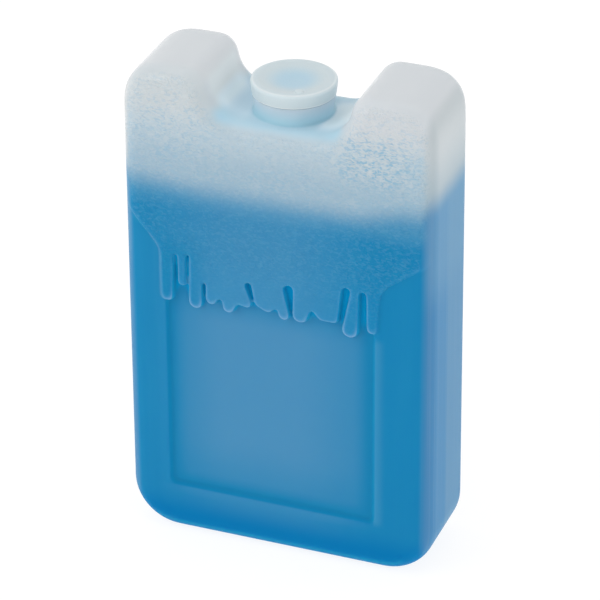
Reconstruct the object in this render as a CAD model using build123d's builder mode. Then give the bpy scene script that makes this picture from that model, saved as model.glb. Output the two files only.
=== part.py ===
from build123d import *
from math import asin, atan2, cos, hypot, pi, radians, sin, tan
import os

# Reusable ice pack: a blow-moulded flat bottle with two horns, a coat of dripping
# frost in relief, a pressed-in filler plug and the coolant that it holds.
# Millimetres, +Z up, the faces look along -Y and +Y, origin under the middle of the base.

# Bottle, each of its sides leaning in by the taper from the foot to the horns' tops
width = 95.8
height = 154.5
body_depth = 32.8
side_taper = 0.5
wall = 1.4
face_edge_radius = 5.5
foot_radius = 15.0

# Horns and the saddle between them
horn_width = 25.0
horn_outer_radius = 14.0
horn_inner_radius = 6.5
saddle_depth = 14.2
saddle_draft = 12.0
saddle_radius = 10.0

# Recessed panel on each face, its middle a little to the left of the face's
panel_width = 65.0
panel_offset = -2.6
panel_foot = 16.0
panel_top_drop = 57.0
panel_recess = 1.3
panel_slope = 45.0
panel_corner_radius = 1.0

# Frost coat, raised on each face and fading out on its rolled edges
frost_step = 0.7
frost_edge_radius = 0.7
frost_left_drop = 36.3
frost_right_drop = 43.2

# Lower edge of the frost, left to right. Each row is a circle that the edge runs round:
# its middle's x, how far its lowest or highest point is below the horns' tops, and its
# radius, which is above zero for a drip's tip and below zero for the gap between drips.
frost_edge = [
    (-43.8, 51.9, -8.0),
    (-33.8, 74.5, 2.0),
    (-30.8, 58.5, -0.5),
    (-28.9, 68.7, 1.4),
    (-27.1, 58.0, -0.5),
    (-24.8, 75.4, 2.2),
    (-22.1, 66.2, -0.5),
    (-19.9, 73.2, 1.8),
    (-17.1, 70.9, -0.5),
    (-14.5, 74.9, 1.9),
    (-11.4, 71.6, -0.5),
    (-8.8, 72.1, 1.6),
    (-8.3, 63.7, -0.9),
    (-5.1, 71.0, 1.4),
    (-2.4, 72.4, 1.7),
    (0.2, 70.8, -0.6),
    (2.7, 73.9, 1.8),
    (4.1, 62.2, -1.4),
    (7.7, 73.8, 2.4),
    (11.3, 69.2, -0.5),
    (14.5, 71.9, 1.6),
    (18.0, 71.9, 1.4),
    (21.8, 59.5, -1.2),
    (23.0, 75.7, 2.5),
    (26.9, 60.0, -1.0),
    (29.8, 73.3, 1.8),
    (41.0, 54.3, -9.0),
]

# Filler neck
neck_radius = 10.5
neck_flare = 0.4
neck_height = 5.9
neck_wall = 1.6
neck_root_radius = 0.8

# Plug, pressed into the neck by its skirt
plug_overhang = 0.7
plug_flare = 0.7
plug_height = 4.2
plug_lip_radius = 0.7
plug_rim = 1.9
plug_dish = 1.1
plug_fit = 0.1
plug_skirt_length = 7.0
plug_skirt_wall = 1.4
gate_radius = 1.2
gate_height = 0.25
gate_inset = 1.2
gate_angle = -60.0

# Coolant, filled to a level below the saddle
headspace = 17.3

# Sizes that follow from the ones above
frost_depth = body_depth + 2 * frost_step
saddle_height = height - saddle_depth
horn_foot_width = horn_width + saddle_depth * tan(radians(saddle_draft))
outer_corner = min(horn_outer_radius, 0.6 * horn_width)
inner_corner = min(horn_inner_radius, 0.3 * horn_width, 0.5 * saddle_depth)
saddle_corner = min(saddle_radius, 0.72 * saddle_depth)
edge_radius = min(face_edge_radius, 0.93 * inner_corner)
fill_height = saddle_height - headspace
bore_radius = neck_radius - neck_wall
neck_top = saddle_height + neck_height
skirt_radius = bore_radius - plug_fit
plug_radius = neck_radius + neck_flare + plug_overhang
plug_top_radius = plug_radius + plug_flare
plug_top = neck_top + plug_height


def half_form(depth, inset=0.0):
    """The pack's front half with its face rolled into the sides, or drawn in by inset."""
    side = width / 2
    top_side = side - side_taper
    horn = side - horn_width
    saddle = side - horn_foot_width
    corners = [
        (-side, 0),
        (side, 0),
        (top_side, height),
        (horn, height),
        (saddle, saddle_height),
        (-saddle, saddle_height),
        (-horn, height),
        (-top_side, height),
    ]
    radii = [foot_radius, foot_radius, outer_corner, inner_corner]
    radii += [saddle_corner, saddle_corner, inner_corner, outer_corner]
    with BuildPart() as form:
        with BuildSketch(Plane.XZ):
            with BuildLine():
                FilletPolyline(*corners, radius=radii, close=True)
            make_face()
            if inset:
                offset(amount=-inset, mode=Mode.REPLACE)
        extrude(amount=depth / 2 - inset)
        face = form.faces().sort_by(Axis.Y)[0]
        fillet(face.edges(), radius=edge_radius - inset)
    return form.part


def panel_pocket(inset=0.0):
    """The panel's recess as a solid to cut away, or grown by the wall for the hollow."""
    spread = inset * tan(radians(panel_slope) / 2)
    panel_height = height - panel_top_drop - panel_foot
    with BuildPart() as pocket:
        with BuildSketch(Plane.XZ.offset(body_depth / 2 - panel_recess - inset)):
            with Locations((panel_offset, panel_foot + panel_height / 2)):
                RectangleRounded(
                    panel_width + 2 * spread,
                    panel_height + 2 * spread,
                    panel_corner_radius + spread,
                )
        extrude(amount=panel_recess + frost_step + wall, taper=-panel_slope)
    return pocket.part


def frost_arcs(start, end):
    """Three points of each arc on the frost's lower edge, joined by tangent lines."""
    circles = [(x, height - drop + radius, radius) for x, drop, radius in frost_edge]
    stops = [(*start, 0.0), *circles, (*end, 0.0)]
    headings = []
    for (x1, z1, r1), (x2, z2, r2) in zip(stops[:-1], stops[1:]):
        span = hypot(x2 - x1, z2 - z1)
        headings.append(atan2(z2 - z1, x2 - x1) + asin((r1 - r2) / span))
    arcs = []
    for (x, z, radius), before, after in zip(circles, headings[:-1], headings[1:]):
        turn = (after - before) % (2 * pi)
        if radius < 0:
            turn -= 2 * pi
        steps = (before, before + turn / 2, before + turn)
        arcs.append([(x + radius * sin(step), z - radius * cos(step)) for step in steps])
    return arcs


def frost_coat():
    """The front half as far down as the frost covers it, with the frost's edge rounded."""
    reach = width / 2 + face_edge_radius
    above = height + face_edge_radius
    start = (-reach, height - frost_left_drop)
    end = (reach, height - frost_right_drop)
    with BuildPart() as coat:
        with BuildSketch(Plane.XZ):
            with BuildLine():
                point = start
                for arc_start, arc_middle, arc_end in frost_arcs(start, end):
                    Line(point, arc_start)
                    ThreePointArc(arc_start, arc_middle, arc_end)
                    point = arc_end
                Polyline(point, end, (reach, above), (-reach, above), start)
            make_face()
        extrude(amount=frost_depth / 2)
        face = coat.faces().sort_by(Axis.Y)[0]
        rim = face.edges().filter_by(lambda edge: edge.center().Z < start[1])
        fillet(rim, radius=frost_edge_radius)
        add(half_form(frost_depth + 2 * frost_step, frost_step), mode=Mode.INTERSECT)
    return coat.part


# Front half as it leaves its half of the mould: form, panel and the frost over both
with BuildPart() as front_half:
    add(half_form(body_depth))
    add(panel_pocket(), mode=Mode.SUBTRACT)
    add(frost_coat())

# Hollow of the whole bottle, one wall inside its faces
with BuildPart() as hollow:
    add(half_form(body_depth, wall))
    add(panel_pocket(wall), mode=Mode.SUBTRACT)
    add(hollow.part, rotation=(0, 0, 180))

# Bottle: two like halves, the neck on the saddle, the hollow and the bore into it
with BuildPart() as bottle:
    add(front_half.part)
    add(front_half.part, rotation=(0, 0, 180))
    with BuildSketch(Plane.XZ):
        with BuildLine():
            Polyline(
                (0, saddle_height - wall),
                (neck_radius, saddle_height - wall),
                (neck_radius, saddle_height),
                (neck_radius + neck_flare, neck_top),
                (0, neck_top),
                (0, saddle_height - wall),
            )
        make_face()
    revolve(axis=Axis.Z)
    rings = bottle.edges().filter_by(GeomType.CIRCLE).filter_by_position(
        Axis.Z, saddle_height - wall / 2, saddle_height + wall / 2
    )
    root = rings.filter_by(lambda edge: edge.radius < neck_radius + neck_flare)
    fillet(root, radius=neck_root_radius)
    add(hollow.part, mode=Mode.SUBTRACT)
    with BuildSketch(Plane.XY.offset(neck_top)):
        Circle(bore_radius)
    extrude(amount=-(neck_height + saddle_depth), mode=Mode.SUBTRACT)
bottle.part.label = "bottle"

# Coolant: what fills the hollow up to its level
with BuildPart() as coolant:
    add(hollow.part)
    split(bisect_by=Plane.XY.offset(fill_height), keep=Keep.BOTTOM)
coolant.part.label = "coolant"

# Plug: a flared, dished stopper with a hollow skirt and the mark of its moulding gate
with BuildPart() as plug:
    with BuildSketch(Plane.XZ):
        with BuildLine():
            dish = TangentArc(
                (0, plug_top - plug_dish),
                (plug_top_radius - plug_rim, plug_top),
                tangent=(1, 0),
            )
            Polyline(
                dish @ 1,
                (plug_top_radius, plug_top),
                (plug_radius, neck_top),
                (skirt_radius, neck_top),
                (skirt_radius, neck_top - plug_skirt_length),
                (skirt_radius - plug_skirt_wall, neck_top - plug_skirt_length),
                (skirt_radius - plug_skirt_wall, neck_top),
                (0, neck_top),
                dish @ 0,
            )
        make_face()
    revolve(axis=Axis.Z)
    top_rings = plug.edges().filter_by(GeomType.CIRCLE).group_by(Axis.Z)[-1]
    fillet(top_rings.sort_by(SortBy.RADIUS)[-1], radius=plug_lip_radius)
    with BuildSketch(Plane.XY.offset(plug_top - plug_dish / 2)):
        with PolarLocations(plug_top_radius - plug_rim - gate_inset, 1, gate_angle):
            Circle(gate_radius)
    extrude(amount=plug_dish / 2 + gate_height)
plug.part.label = "plug"

os.makedirs("parts", exist_ok=True)
export_step(bottle.part, "parts/bottle.step")
export_step(coolant.part, "parts/coolant.step")
export_step(plug.part, "parts/plug.step")
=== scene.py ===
from math import cos, radians, sin

import bpy
import numpy as np
from mathutils import Matrix, Vector


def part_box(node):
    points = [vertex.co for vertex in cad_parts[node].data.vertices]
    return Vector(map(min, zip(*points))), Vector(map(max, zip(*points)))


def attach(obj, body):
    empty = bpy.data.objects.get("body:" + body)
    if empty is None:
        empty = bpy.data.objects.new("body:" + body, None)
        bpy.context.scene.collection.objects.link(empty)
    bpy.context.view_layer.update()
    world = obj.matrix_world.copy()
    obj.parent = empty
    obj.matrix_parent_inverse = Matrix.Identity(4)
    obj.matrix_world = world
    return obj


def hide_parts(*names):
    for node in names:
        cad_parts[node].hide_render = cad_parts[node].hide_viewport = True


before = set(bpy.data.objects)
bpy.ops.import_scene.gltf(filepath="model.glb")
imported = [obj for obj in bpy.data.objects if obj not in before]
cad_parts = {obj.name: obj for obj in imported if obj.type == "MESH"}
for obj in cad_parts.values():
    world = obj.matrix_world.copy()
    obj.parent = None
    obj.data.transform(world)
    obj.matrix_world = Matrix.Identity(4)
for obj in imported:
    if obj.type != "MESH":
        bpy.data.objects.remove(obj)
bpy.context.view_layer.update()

# Reusable ice pack: a milky blow-moulded bottle with dripping frost in relief, the blue
# coolant inside and the plug in its neck. Lengths are metres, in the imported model's frame.

mm = 0.001

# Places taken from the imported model, in millimetres
bottle_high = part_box("bottle")[1]
side_x = bottle_high.x / mm
frost_y = bottle_high.y / mm
horn_z = bottle_high.z / mm
level_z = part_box("coolant")[1].z / mm
plug_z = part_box("plug")[1].z / mm

# Forms that the finishes follow, in millimetres: the bare faces below the frost, the
# panel sunk into them, the drips' lowest tips, the saddle between the horns and the
# neck's top, and how far out the panel's and the drips' own colours reach
bare_y = 16.4
panel_y = 15.1
panel_left_x = -33.6
panel_right_x = 29.4
panel_foot_z = 17.4
drip_z = 79.0
saddle_z = 140.3
saddle_half_width = 17.0
neck_top_z = 146.2
face_reach = 39.0

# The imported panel's walls from one edge to the other, how far out its foot runs, and how
# far in each wall is moved here, in millimetres
packed_left_wall = (-36.6, -34.0)
packed_right_wall = (29.0, 31.4)
packed_foot_wall = (14.5, 17.1)
packed_foot_reach = 37.0
left_wall_shift = 1.5
right_wall_shift = 0.5
foot_wall_shift = 1.4

# Horns' outer corners: the middle of their arc in millimetres, and how square they are,
# where 2 would leave them round
corner_x = 33.4
corner_z = 140.5
left_corner_power = 2.3
right_corner_power = 2.7

# Neck and plug in millimetres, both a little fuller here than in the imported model
neck_foot_radius = 11.35
neck_top_radius = 12.05
neck_sides = 180
plug_radius = 12.55
plug_foot_swell = 0.55
plug_top_swell = 0.25

# Meshes: how finely a piece is remeshed, how often its edges are softened, and how many
# softenings the relief is measured against
bottle_voxel = 0.45 * mm
bottle_softening = 7
bottle_triangles = 190000
rim_reach = 20
hollow_reach = 60
plug_voxel = 0.22 * mm
plug_softening = 3

# Light: the room's own, and the table's glow, which keeps it white round the pack
room_strength = 0.8
table_glow = 0.86

# Camera: where the photograph was taken from
view_azimuth = radians(21.184)
view_elevation = radians(29.699)
view_roll = radians(-0.421)
view_distance = 1.058
view_right = 1.20 * mm
view_up = 0.52 * mm
sensor_width = 36.0
lens = 216.7


class Socket:
    """A value in a material. An expression on it adds Math nodes."""

    def __init__(self, graph, socket):
        self.graph = graph
        self.socket = socket

    def sum(self, operation, *others):
        inputs = dict(enumerate((self, *others)))
        return self.graph.node("ShaderNodeMath", {"operation": operation}, inputs)

    def __add__(self, other):
        return self.sum("ADD", other)

    __radd__ = __add__

    def __sub__(self, other):
        return self.sum("SUBTRACT", other)

    def __rsub__(self, other):
        return self * -1.0 + other

    def __mul__(self, other):
        return self.sum("MULTIPLY", other)

    __rmul__ = __mul__

    def __abs__(self):
        return self.sum("ABSOLUTE")

    def rise(self, start, end):
        """0 before start, 1 past end and eased in between. It falls where end is the lower."""
        inputs = {"Value": self, "From Min": start, "From Max": end}
        settings = {"interpolation_type": "SMOOTHSTEP"}
        return self.graph.node("ShaderNodeMapRange", settings, inputs)

    def within(self, low, high, soft):
        """1 between low and high, fading over soft on either side."""
        return self.rise(low - soft, low + soft) * self.rise(high + soft, high - soft)


class Graph:
    """The nodes of one material."""

    def __init__(self, name):
        self.material = bpy.data.materials.new(name)
        self.material.use_nodes = True
        self.tree = self.material.node_tree
        self.tree.nodes.clear()

    def node(self, kind, settings, inputs, output=0):
        """Adds a node: its settings come first, then the values or links of its sockets."""
        made = self.tree.nodes.new(kind)
        for name, value in settings.items():
            setattr(made, name, value)
        for name, value in inputs.items():
            if isinstance(value, Socket):
                self.tree.links.new(value.socket, made.inputs[name])
            else:
                made.inputs[name].default_value = value
        if made.outputs:
            return Socket(self, made.outputs[output])

    def place(self):
        """The point on the piece, in millimetres."""
        metres = self.node("ShaderNodeTexCoord", {}, {}, "Object")
        inputs = {0: metres, "Scale": 1 / mm}
        return self.node("ShaderNodeVectorMath", {"operation": "SCALE"}, inputs)

    def split(self, vector):
        return [self.node("ShaderNodeSeparateXYZ", {}, {0: vector}, axis) for axis in "XYZ"]

    def stretch(self, vector, scale):
        inputs = {0: vector, 1: scale}
        return self.node("ShaderNodeVectorMath", {"operation": "MULTIPLY"}, inputs)

    def attribute(self, name):
        return self.node("ShaderNodeAttribute", {"attribute_name": name}, {}, "Fac")

    def noise(self, vector, scale, detail=2.0, distortion=0.0):
        inputs = {"Vector": vector, "Scale": scale, "Detail": detail, "Distortion": distortion}
        return self.node("ShaderNodeTexNoise", {}, inputs)

    def mix(self, factor, first, second):
        """first where factor is 0 and second where it is 1."""
        settings = {"data_type": "RGBA", "clamp_factor": True}
        return self.node("ShaderNodeMix", settings, {0: factor, 6: first, 7: second}, 2)

    def layers(self, base, *coats):
        """base under its coats, each of them a factor and the colour that it brings."""
        for factor, coat in coats:
            base = self.mix(factor, base, coat)
        return base

    def bump(self, height, distance):
        inputs = {"Height": height, "Distance": distance, "Strength": 1.0}
        return self.node("ShaderNodeBump", {}, inputs)

    def finish(self, inputs):
        """Ends the material in one Principled shader."""
        surface = self.node("ShaderNodeBsdfPrincipled", {}, inputs)
        self.node("ShaderNodeOutputMaterial", {}, {"Surface": surface})
        return self.material


def colour(red, green, blue):
    """A colour given as on screen, from 0 to 255, as the shader's own linear one."""
    shares = [value / 255 for value in (red, green, blue)]
    linear = [s / 12.92 if s <= 0.04045 else ((s + 0.055) / 1.055) ** 2.4 for s in shares]
    return (*linear, 1.0)


# Finishes

class Spot:
    """Where a point of the bottle is, in millimetres. On both faces across runs to the right."""

    def __init__(self, graph):
        self.place = graph.place()
        self.x, self.y, self.z = graph.split(self.place)
        self.width = abs(self.x)
        self.depth = abs(self.y)
        self.across = self.x * self.y.sum("SIGN") * -1.0


def panel_painted_light(spot):
    """How pale the panel's floor is painted, as painted light and shade: 1 in its middle, less
    towards its walls and the drips, where painted shade falls.
    """
    across, z = spot.across, spot.z
    from_left = across.rise(panel_left_x - 0.5, panel_left_x + 6.0)
    from_left = from_left + across.rise(panel_left_x, panel_left_x + 18.0)
    from_right = across.rise(panel_right_x - 0.5, panel_right_x - 6.5)
    from_right = from_right + across.rise(panel_right_x + 0.5, 4.0)
    from_foot = z.rise(panel_foot_z, panel_foot_z + 5.0)
    from_foot = from_foot + z.rise(panel_foot_z, panel_foot_z + 19.0)
    under_drips = z.rise(drip_z + 9.5, drip_z - 5.5)
    return from_left * from_right * from_foot * 0.125 * under_drips


def right_lip_highlight(spot):
    """A painted highlight on the paler rounded edge of the face beside the panel's right wall.
    """
    lip = spot.across.rise(panel_right_x + 0.5, panel_right_x + 1.3)
    lip = lip * spot.across.rise(panel_right_x + 4.8, panel_right_x + 1.3)
    return lip * spot.z.within(panel_foot_z - 1.0, drip_z, 1.5)


def foot_lip_highlight(spot):
    """A painted highlight on the paler rounded edge of the face below the panel's foot."""
    lip = spot.z.rise(panel_foot_z - 4.4, panel_foot_z - 1.3)
    lip = lip * spot.z.rise(panel_foot_z - 0.8, panel_foot_z - 1.3)
    lip = lip * spot.across.within(panel_left_x + 4.0, panel_right_x - 6.0, 10.0)
    return lip * spot.depth.rise(bare_y - 0.6, bare_y - 0.2)


def narrow_side(graph, spot):
    """The blue of the narrow sides, partly their own and partly painted sheen from the grazing
    light that they catch: streaked, lighter above and behind the mould's line.
    """
    behind = spot.y.rise(-3.2, -1.4)
    streak = graph.noise(graph.stretch(spot.place, (0.0, 1.1, 0.004)), 1.0, 3.0)
    upper = spot.z.rise(86.0, 104.0)
    return graph.layers(
        graph.mix(behind, colour(81, 138, 183), colour(98, 146, 184)),
        (streak.rise(0.52, 0.72) * 0.5, colour(108, 150, 187)),
        (upper * 0.5, colour(114, 158, 190)),
    )


def full_wall(graph, spot, side, fleck):
    """The blue of the wall where the coolant stands behind it."""
    across, z, depth = spot.across, spot.z, spot.depth
    flow = graph.noise(graph.stretch(spot.place, (0.30, 0.30, 0.02)), 1.0)
    # Painted light: a pale glow across the middle of the face
    glow = across.rise(-44.0, -9.0) * across.rise(31.0, 2.0)
    # Painted reflection along the face's left margin, where it turns to the narrow side
    left_margin_reflection = across.rise(-43.6, -47.4)
    # Painted shade towards the face's right margin
    right_margin_shade = across.rise(20.0, 34.0)
    lower = z.rise(60.0, 10.0)
    foot = z.rise(15.0, 6.0)
    near_level = z.rise(level_z - 13.0, level_z - 6.0)
    on_face = spot.width.rise(face_reach + 1.0, face_reach - 1.0)
    panel_floor = depth.rise(panel_y + 0.9, panel_y + 0.2) * on_face
    # Painted shade on the panel's sunken walls
    panel_wall_shade = depth.within(panel_y + 0.3, bare_y - 0.3, 0.2) * on_face
    # The panel's floor blue, with the painted light and shade of its middle and walls
    panel_blue = graph.mix(panel_painted_light(spot), colour(24, 134, 182), colour(79, 146, 188))
    return graph.layers(
        graph.mix(flow, colour(24, 133, 183), colour(38, 141, 188)),
        (glow * 0.9, colour(68, 144, 188)),
        (right_margin_shade * 0.5, colour(16, 132, 182)),
        (lower * 0.5, colour(22, 130, 181)),
        (panel_floor, panel_blue),
        (left_margin_reflection, colour(84, 150, 194)),
        (foot, colour(2, 122, 180)),
        (foot_lip_highlight(spot) * 0.8, colour(60, 141, 186)),
        (right_lip_highlight(spot) * 0.8, colour(62, 145, 187)),
        (panel_wall_shade * 0.9, colour(14, 136, 184)),
        (fleck, colour(100, 164, 198)),
        (near_level * 0.2, colour(150, 192, 210)),
        (side, narrow_side(graph, spot)),
    )


def with_drips(graph, spot, blue, frost):
    """The wall's blue with the frost's drips on it: bodies, edges and tips with painted
    highlights, painted light on the drips' lit and unlit sides, and gaps with painted light.
    """
    across, z, depth = spot.across, spot.z, spot.depth
    rim = graph.attribute("rim")
    hollow = graph.attribute("hollow")
    lee = graph.attribute("lee")
    body = frost * across.rise(-20.0, -28.0) * z.rise(drip_z + 26.0, drip_z + 15.0)
    # Painted light on the walls of the drips that face left, towards the lamps
    lit = lee.rise(-0.05, -0.45) * depth.rise(bare_y - 0.1, bare_y + 0.2)
    lit = lit * z.within(drip_z, drip_z + 27.0, 3.0)
    # Painted highlights along the drips' raised edges, strongest at their tips
    tips = z.rise(drip_z + 7.0, drip_z) * 0.8 + spot.width.rise(33.0, 36.0) * 0.5 + 0.2
    edge = rim.rise(0.05, 0.34) * depth.rise(bare_y, bare_y + 0.4)
    # Painted light in the gaps between the drips, where shade falls
    gap = hollow.rise(-0.24, -0.64) * z.rise(drip_z, drip_z + 6.0)
    # Painted light on the walls of the drips that face right, away from the lamps
    unlit = lee.rise(0.45, 0.9) * z.within(drip_z, drip_z + 21.0, 2.0)
    return graph.layers(
        blue,
        (body * 0.6, colour(16, 134, 181)),
        (lit * 0.35, colour(106, 158, 198)),
        (edge * tips, colour(116, 162, 202)),
        (gap, colour(0, 162, 214)),
        (unlit, colour(26, 150, 196)),
    )


def empty_wall(graph, spot, side, wrinkle, crest, trough):
    """The pale of the wall where air stands behind it: horns, saddle and neck."""
    x, y, z = spot.x, spot.y, spot.z
    width, depth, across = spot.width, spot.depth, spot.across

    # The horns, palest at their tops and with painted shade towards the right, and the two
    # narrow sides, painted as shaded and lit copies: greyer on the right, paler on the left
    blotch = graph.noise(spot.place, 0.06)
    height = z + side * 5.0
    lower = graph.mix(
        height.rise(level_z, saddle_z), colour(160, 188, 206), colour(190, 207, 217)
    )
    top = height.rise(saddle_z - 4.0, horn_z - 6.0)
    shade = x.rise(15.0, 40.0) * (1.0 - side) * (1.0 - top) * 0.15
    front = depth.rise(9.0, 16.0) * across.rise(10.0, -10.0)
    left_side = side * x.rise(0.0, -1.0)
    right_side = side * x.rise(0.0, 1.0)
    shaded_right_grey = graph.mix(
        z.rise(level_z, saddle_z + 4.0), colour(164, 181, 190), colour(185, 194, 198)
    )

    # The crooks at the horns' inner feet, the saddle, and what the neck and horns shelter. The
    # crooks and the sheltered hollows beside the neck get painted light, paler than the shade
    # that falls there
    crook = z.within(saddle_z + 1.0, saddle_z + 11.0, 2.0) * width.rise(27.0, 20.0)
    crook = crook * depth.rise(13.0, 8.0)
    saddle = z.within(saddle_z - 1.0, saddle_z + 3.0, 1.5) * width.rise(22.0, saddle_half_width)
    saddle = saddle * depth.rise(17.0, 13.0)
    shelter = width.rise(9.0, 12.0) * width.rise(25.0, 20.0) * depth.rise(12.0, 6.0)
    shelter = shelter * z.rise(saddle_z + 6.0, saddle_z + 3.0)
    shelter = shelter * (1.0 - z.rise(saddle_z + 2.5, saddle_z + 0.5) * x.rise(0.0, -8.0) * 0.6)

    # The neck
    radius = (x * x + y * y).sum("SQRT")
    neck = radius.rise(neck_top_radius + 0.8, neck_top_radius + 0.1)
    neck = neck * z.rise(saddle_z, saddle_z + 0.4)
    ring = graph.mix(z.rise(saddle_z, neck_top_z), colour(166, 208, 224), colour(182, 201, 214))

    return graph.layers(
        lower,
        (shade, colour(140, 184, 206)),
        (blotch * 0.3, colour(188, 204, 212)),
        (top, colour(210, 215, 219)),
        (top * front * 0.5, colour(200, 210, 213)),
        (right_side * 0.9, shaded_right_grey),
        (left_side * 0.7, colour(200, 202, 203)),
        (trough * wrinkle * 0.7, colour(130, 182, 211)),
        (crest * wrinkle * 0.5, colour(216, 218, 218)),
        (crook, colour(218, 226, 228)),
        (saddle, colour(182, 214, 229)),
        (shelter, colour(224, 240, 251)),
        (neck, ring),
    )


def bottle_finish():
    """Milky polyethylene: blue where the coolant stands behind it, pale where air does."""
    graph = Graph("milky bottle")
    spot = Spot(graph)
    x, z = spot.x, spot.z
    width, depth, across = spot.width, spot.depth, spot.across

    # Where the narrow sides and the frost are, and how strong the frost's wrinkles are
    side = width.rise(side_x - 4.1, side_x - 1.2)
    rolled = z.rise(level_z - 14.0, level_z - 4.0) * depth.rise(bare_y - 2.5, bare_y - 0.2)
    frost = (depth.rise(bare_y + 0.1, frost_y - 0.2) + rolled).sum("MINIMUM", 1.0)
    horns = z.rise(level_z + 2.0, level_z + 12.0) * z.rise(saddle_z + 11.0, saddle_z - 3.0)
    horns = horns * width.within(20.0, 41.0, 8.0) * (across.rise(-10.0, 10.0) * 0.9 + 0.5)
    patch = graph.noise(spot.place, 0.25).rise(0.35, 0.65) * 0.6 + 0.4
    wrinkle = frost * (horns * 0.55 + patch * 0.3)

    # The frost's ripples and pebbles, fainter on the drips than above them. The ripples' pale
    # crests and bluer troughs are partly the frost's own tone and partly painted light and shade
    # of its relief
    ripple = graph.noise(graph.stretch(spot.place, (0.8, 0.8, 1.5)), 1.0, 0.3, 0.9)
    crest = ripple.rise(0.46, 0.70)
    trough = ripple.rise(0.50, 0.28)
    pebble = graph.noise(spot.place, 1.5, 1.0, 0.4).rise(0.3, 0.7)
    above_drips = z.rise(drip_z + 5.0, drip_z + 23.0)
    fleck = (crest * 0.22 + pebble * 0.08) * frost * (above_drips * 0.7 + 0.3)
    texture = ripple * wrinkle + pebble * frost * (above_drips * 0.3 + 0.1)

    # The blue reaches higher on the narrow sides and towards the right
    blue = with_drips(graph, spot, full_wall(graph, spot, side, fleck), frost)
    pale = empty_wall(graph, spot, side, wrinkle, crest, trough)
    height = z - side * 3.0 - width.rise(20.0, 40.0) * 0.8 - x.rise(25.0, 42.0) * 2.4
    skin = graph.mix(height.rise(level_z + 0.5, level_z - 9.0), pale, blue)
    return graph.finish({
        "Base Color": skin,
        "Roughness": 0.42,
        "IOR": 1.5,
        "Specular IOR Level": 0.03,
        "Coat Weight": z.rise(level_z - 4.0, level_z + 16.0) * 0.6,
        "Coat Roughness": 0.2,
        "Subsurface Weight": 0.85,
        "Subsurface Radius": (1.0, 1.0, 1.0),
        "Subsurface Scale": 2.2 * mm,
        "Normal": graph.bump(texture, 0.4 * mm),
    })


def plug_finish():
    """Milky polyethylene, bluer in the middle of the dish, with painted highlights along its lip
    and its seam.
    """
    graph = Graph("milky plug")
    place = graph.place()
    x, y, z = graph.split(place)
    radius = (x * x + y * y).sum("SQRT")
    cloud = graph.noise(place, 0.3)
    # Painted highlights: a pale line along the lip of the plug's head and another at its seam on
    # the neck
    lip = radius.within(plug_radius - 0.9, plug_radius - 0.4, 0.3) * z.rise(plug_z - 0.8, plug_z)
    seam = z.rise(neck_top_z + 0.5, neck_top_z + 0.1)
    skin = graph.layers(
        graph.mix(z.rise(neck_top_z, plug_z), colour(200, 214, 218), colour(206, 218, 222)),
        (cloud * 0.4, colour(198, 213, 220)),
        (radius.rise(9.5, 3.0), colour(182, 211, 226)),
        (lip * 0.6 + seam * 0.8, colour(236, 240, 241)),
    )
    return graph.finish({
        "Base Color": skin,
        "Roughness": 0.36,
        "IOR": 1.5,
        "Specular IOR Level": 0.35,
        "Subsurface Weight": 0.6,
        "Subsurface Radius": (1.0, 1.0, 1.0),
        "Subsurface Scale": 2.0 * mm,
        "Normal": graph.bump(graph.noise(place, 1.6), 0.06 * mm),
    })


def coolant_finish():
    """Clear blue liquid, a little deeper towards the base."""
    graph = Graph("blue coolant")
    x, y, z = graph.split(graph.place())
    skin = graph.mix(z.rise(0.0, level_z), colour(8, 96, 160), colour(30, 130, 190))
    return graph.finish({"Base Color": skin, "Roughness": 0.08, "IOR": 1.34})


def floor_finish():
    """Plain white table."""
    graph = Graph("white table")
    speckle = graph.noise(graph.place(), 0.2)
    skin = graph.mix(speckle, (0.19, 0.19, 0.19, 1.0), (0.21, 0.21, 0.21, 1.0))
    return graph.finish({
        "Base Color": skin,
        "Roughness": 0.7,
        "Specular IOR Level": 0.0,
        "Emission Color": (1.0, 1.0, 1.0, 1.0),
        "Emission Strength": table_glow,
    })


# Pieces

def choose(piece):
    """Makes piece the only one selected, and the active one."""
    bpy.ops.object.select_all(action="DESELECT")
    piece.select_set(True)
    bpy.context.view_layer.objects.active = piece


def copy_of(node, name):
    """A CAD node's mesh as a new piece, its loose triangles merged into one skin."""
    piece = bpy.data.objects.new(name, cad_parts[node].data.copy())
    bpy.context.scene.collection.objects.link(piece)
    piece.data.materials.clear()
    choose(piece)
    bpy.ops.mesh.customdata_custom_splitnormals_clear()
    bpy.ops.object.mode_set(mode="EDIT")
    bpy.ops.mesh.select_all(action="SELECT")
    bpy.ops.mesh.remove_doubles(threshold=0.0005 * mm)
    bpy.ops.object.mode_set(mode="OBJECT")
    return piece


def points(mesh):
    """The places of the mesh's vertices, one row each."""
    flat = np.empty(len(mesh.vertices) * 3, np.float32)
    mesh.vertices.foreach_get("co", flat)
    return flat.reshape(-1, 3)


def normals(mesh):
    """Which way each of the mesh's vertices faces, one row each."""
    flat = np.empty(len(mesh.vertices) * 3, np.float32)
    mesh.vertex_normals.foreach_get("vector", flat)
    return flat.reshape(-1, 3)


def move(mesh, places):
    """Puts the mesh's vertices in these places, given in millimetres."""
    mesh.vertices.foreach_set("co", (places * mm).ravel())


def keep(mesh, name, values):
    """Keeps a value on each vertex, under this name."""
    layer = mesh.attributes.new(name, "FLOAT", "POINT")
    layer.data.foreach_set("value", values.astype(np.float32))


def between(values, limits):
    """Which of the values lie inside the two limits."""
    low, high = limits
    return (values > low) & (values < high)


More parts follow.
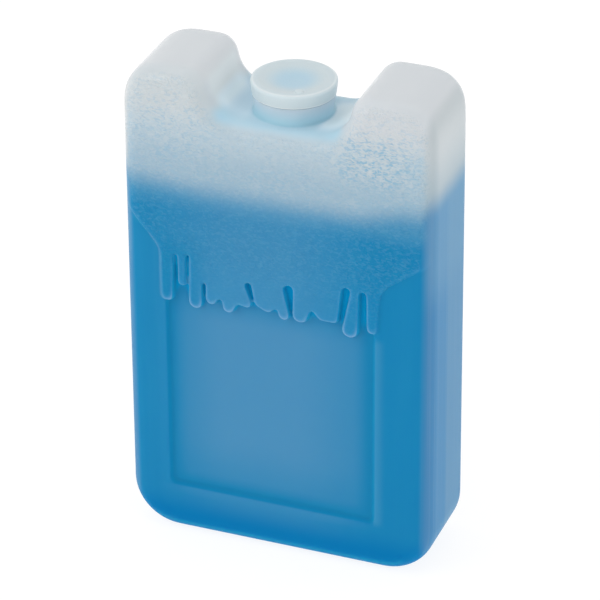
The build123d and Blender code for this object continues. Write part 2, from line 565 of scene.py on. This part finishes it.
def keep_outside(piece):
    """Opens the rim of the neck, drops the inner walls that this frees and caps the neck."""
    bpy.ops.object.mode_set(mode="EDIT")
    bpy.ops.mesh.select_mode(type="FACE")
    bpy.ops.mesh.select_all(action="DESELECT")
    bpy.ops.object.mode_set(mode="OBJECT")
    for face in piece.data.polygons:
        heights = [piece.data.vertices[i].co.z / mm for i in face.vertices]
        face.select = min(heights) > neck_top_z - 0.01 and max(heights) < neck_top_z + 0.01
    bpy.ops.object.mode_set(mode="EDIT")
    bpy.ops.mesh.delete(type="FACE")
    bpy.ops.mesh.separate(type="LOOSE")
    bpy.ops.object.mode_set(mode="OBJECT")
    shells = list(bpy.context.selected_objects)
    outside = max(shells, key=lambda shell: shell.dimensions.z)
    for shell in shells:
        if shell != outside:
            bpy.data.objects.remove(shell)
    choose(outside)
    bpy.ops.object.mode_set(mode="EDIT")
    bpy.ops.mesh.select_mode(type="VERT")
    bpy.ops.mesh.select_all(action="DESELECT")
    bpy.ops.mesh.select_non_manifold()
    bpy.ops.mesh.edge_face_add()
    bpy.ops.object.mode_set(mode="OBJECT")
    return outside


def narrow_panel(piece):
    """Moves the side walls and the foot of each face's panel in by their shifts."""
    places = points(piece.data) / mm
    front = np.where(places[:, 1] < 0.0, 1.0, -1.0)
    across = places[:, 0] * front
    depth = np.abs(places[:, 1])
    sunk = between(depth, (panel_y - 0.05, bare_y + 0.05))
    left = sunk & between(across, packed_left_wall)
    right = sunk & between(across, packed_right_wall)
    foot = sunk & between(places[:, 2], packed_foot_wall)
    foot = foot & (np.abs(across) < packed_foot_reach)
    places[left, 0] += left_wall_shift * front[left]
    places[right, 0] -= right_wall_shift * front[right]
    places[foot, 2] += foot_wall_shift
    move(piece.data, places)


def fill_corners(piece):
    """Makes the horns' outer corners a little squarer, within the same height and width."""
    places = points(piece.data) / mm
    across = np.abs(places[:, 0]) - corner_x
    above = places[:, 2] - corner_z
    corner = (across > 0.0) & (above > 0.0)
    turn = np.arctan2(above[corner], across[corner])
    power = np.where(places[corner, 0] < 0.0, left_corner_power, right_corner_power)
    swell = (np.cos(turn) ** power + np.sin(turn) ** power) ** (-1.0 / power)
    places[corner, 0] = np.sign(places[corner, 0]) * (corner_x + across[corner] * swell)
    places[corner, 2] = corner_z + above[corner] * swell
    move(piece.data, places)


def widen_neck(piece):
    """Joins a fuller neck onto the bottle, from inside the saddle up to the neck's top."""
    foot_z = saddle_z - 1.0
    bpy.ops.object.select_all(action="DESELECT")
    bpy.ops.mesh.primitive_cone_add(
        vertices=neck_sides,
        radius1=neck_foot_radius * mm,
        radius2=neck_top_radius * mm,
        depth=(neck_top_z - foot_z) * mm,
        location=(0.0, 0.0, (neck_top_z + foot_z) / 2 * mm),
    )
    piece.select_set(True)
    bpy.context.view_layer.objects.active = piece
    bpy.ops.object.join()


def widen_plug(piece):
    """Moves the wall of the plug's head outwards, more at its foot than at its lip."""
    places = points(piece.data) / mm
    radius = np.hypot(places[:, 0], places[:, 1])
    share = (places[:, 2] - neck_top_z) / (plug_z - neck_top_z)
    swell = plug_foot_swell + (plug_top_swell - plug_foot_swell) * share
    wall = (radius > plug_radius - 1.5) & (share > -0.01)
    places[wall, :2] *= (1.0 + swell / radius)[wall, None]
    move(piece.data, places)


def soften(repeats):
    """Lets the active piece's edges relax."""
    bpy.ops.object.mode_set(mode="EDIT")
    bpy.ops.mesh.select_all(action="SELECT")
    bpy.ops.mesh.vertices_smooth(factor=0.5, repeat=repeats)
    bpy.ops.object.mode_set(mode="OBJECT")


def remesh(piece, voxel, softening):
    piece.data.remesh_voxel_size = voxel
    choose(piece)
    bpy.ops.object.voxel_remesh()
    soften(softening)


def mark_relief(piece, name, reach):
    """Keeps on each vertex how far it stands out of its surroundings, in millimetres."""
    mesh = piece.data
    spare = bpy.data.objects.new(name, mesh.copy())
    bpy.context.scene.collection.objects.link(spare)
    choose(spare)
    soften(reach)
    outward = (points(mesh) - points(spare.data)) * normals(mesh)
    bpy.data.objects.remove(spare)
    keep(mesh, name, outward.sum(axis=1) / mm)
    choose(piece)


def mark_lee(piece):
    """Keeps on each vertex of the faces how far it faces to their right."""
    places = points(piece.data)
    facing = normals(piece.data)[:, 0] * np.where(places[:, 1] < 0.0, 1.0, -1.0)
    facing *= np.abs(places[:, 0]) < face_reach * mm
    keep(piece.data, "lee", facing)


def thin_out(piece, triangles):
    """Joins flat triangles until the piece has about this many."""
    faces = 2 * len(piece.data.polygons)
    modifier = piece.modifiers.new("thin out", "DECIMATE")
    modifier.ratio = min(1.0, triangles / faces)
    bpy.ops.object.modifier_apply(modifier=modifier.name)


def add_bottle():
    piece = keep_outside(copy_of("bottle", "bottle_skin"))
    piece.name = "bottle_skin"
    narrow_panel(piece)
    widen_neck(piece)
    remesh(piece, bottle_voxel, bottle_softening)
    fill_corners(piece)
    mark_relief(piece, "rim", rim_reach)
    mark_relief(piece, "hollow", hollow_reach)
    mark_lee(piece)
    thin_out(piece, bottle_triangles)
    bpy.ops.object.shade_smooth()
    piece.data.materials.append(bottle_finish())
    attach(piece, "root")
    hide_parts("bottle")


def add_plug():
    piece = copy_of("plug", "plug_soft")
    widen_plug(piece)
    remesh(piece, plug_voxel, plug_softening)
    bpy.ops.object.shade_smooth()
    piece.data.materials.append(plug_finish())
    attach(piece, "root")
    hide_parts("plug")


def finish_coolant():
    """The coolant keeps its packed form, behind the bottle's skin."""
    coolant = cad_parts["coolant"]
    coolant.data.materials.clear()
    coolant.data.materials.append(coolant_finish())


# Set

def add_floor():
    bpy.ops.object.select_all(action="DESELECT")
    bpy.ops.mesh.primitive_plane_add(size=6.0)
    floor = bpy.context.active_object
    floor.name = "table_top"
    floor.data.materials.append(floor_finish())


def add_light(name, place, size, power):
    """A square softbox that faces the middle of the pack."""
    lamp = bpy.data.lights.new(name, "AREA")
    lamp.size = size
    lamp.energy = power
    light = bpy.data.objects.new(name, lamp)
    light.location = place
    aim = Vector((0.0, 0.0, horn_z * mm / 2)) - light.location
    light.rotation_euler = aim.to_track_quat("-Z", "Y").to_euler()
    bpy.context.scene.collection.objects.link(light)


def add_world():
    world = bpy.data.worlds.new("white room")
    world.use_nodes = True
    background = world.node_tree.nodes["Background"]
    background.inputs["Color"].default_value = (1.0, 1.0, 1.0, 1.0)
    background.inputs["Strength"].default_value = room_strength
    bpy.context.scene.world = world


def add_camera():
    back = Vector((
        sin(view_azimuth) * cos(view_elevation),
        -cos(view_azimuth) * cos(view_elevation),
        sin(view_elevation),
    ))
    level_right = (-back).cross(Vector((0.0, 0.0, 1.0))).normalized()
    level_up = level_right.cross(-back)
    right = cos(view_roll) * level_right + sin(view_roll) * level_up
    up = cos(view_roll) * level_up - sin(view_roll) * level_right
    camera = bpy.data.objects.new("camera", bpy.data.cameras.new("camera"))
    camera.data.sensor_width = sensor_width
    camera.data.lens = lens
    turn = Matrix((right, up, back)).transposed().to_4x4()
    middle = Vector((0.0, 0.0, horn_z * mm / 2))
    place = middle + back * view_distance + right * view_right + up * view_up
    camera.matrix_world = Matrix.Translation(place) @ turn
    bpy.context.scene.collection.objects.link(camera)
    bpy.context.scene.camera = camera


bpy.context.scene.view_settings.view_transform = "Standard"
add_camera()
add_world()
add_light("left softbox", (-0.7, -0.7, 0.9), 0.7, 3.0)
add_light("right softbox", (0.9, -0.3, 0.5), 0.5, 0.9)
add_light("top softbox", (-0.4, -0.05, 1.4), 0.35, 0.5)
add_floor()
add_bottle()
add_plug()
finish_coolant()
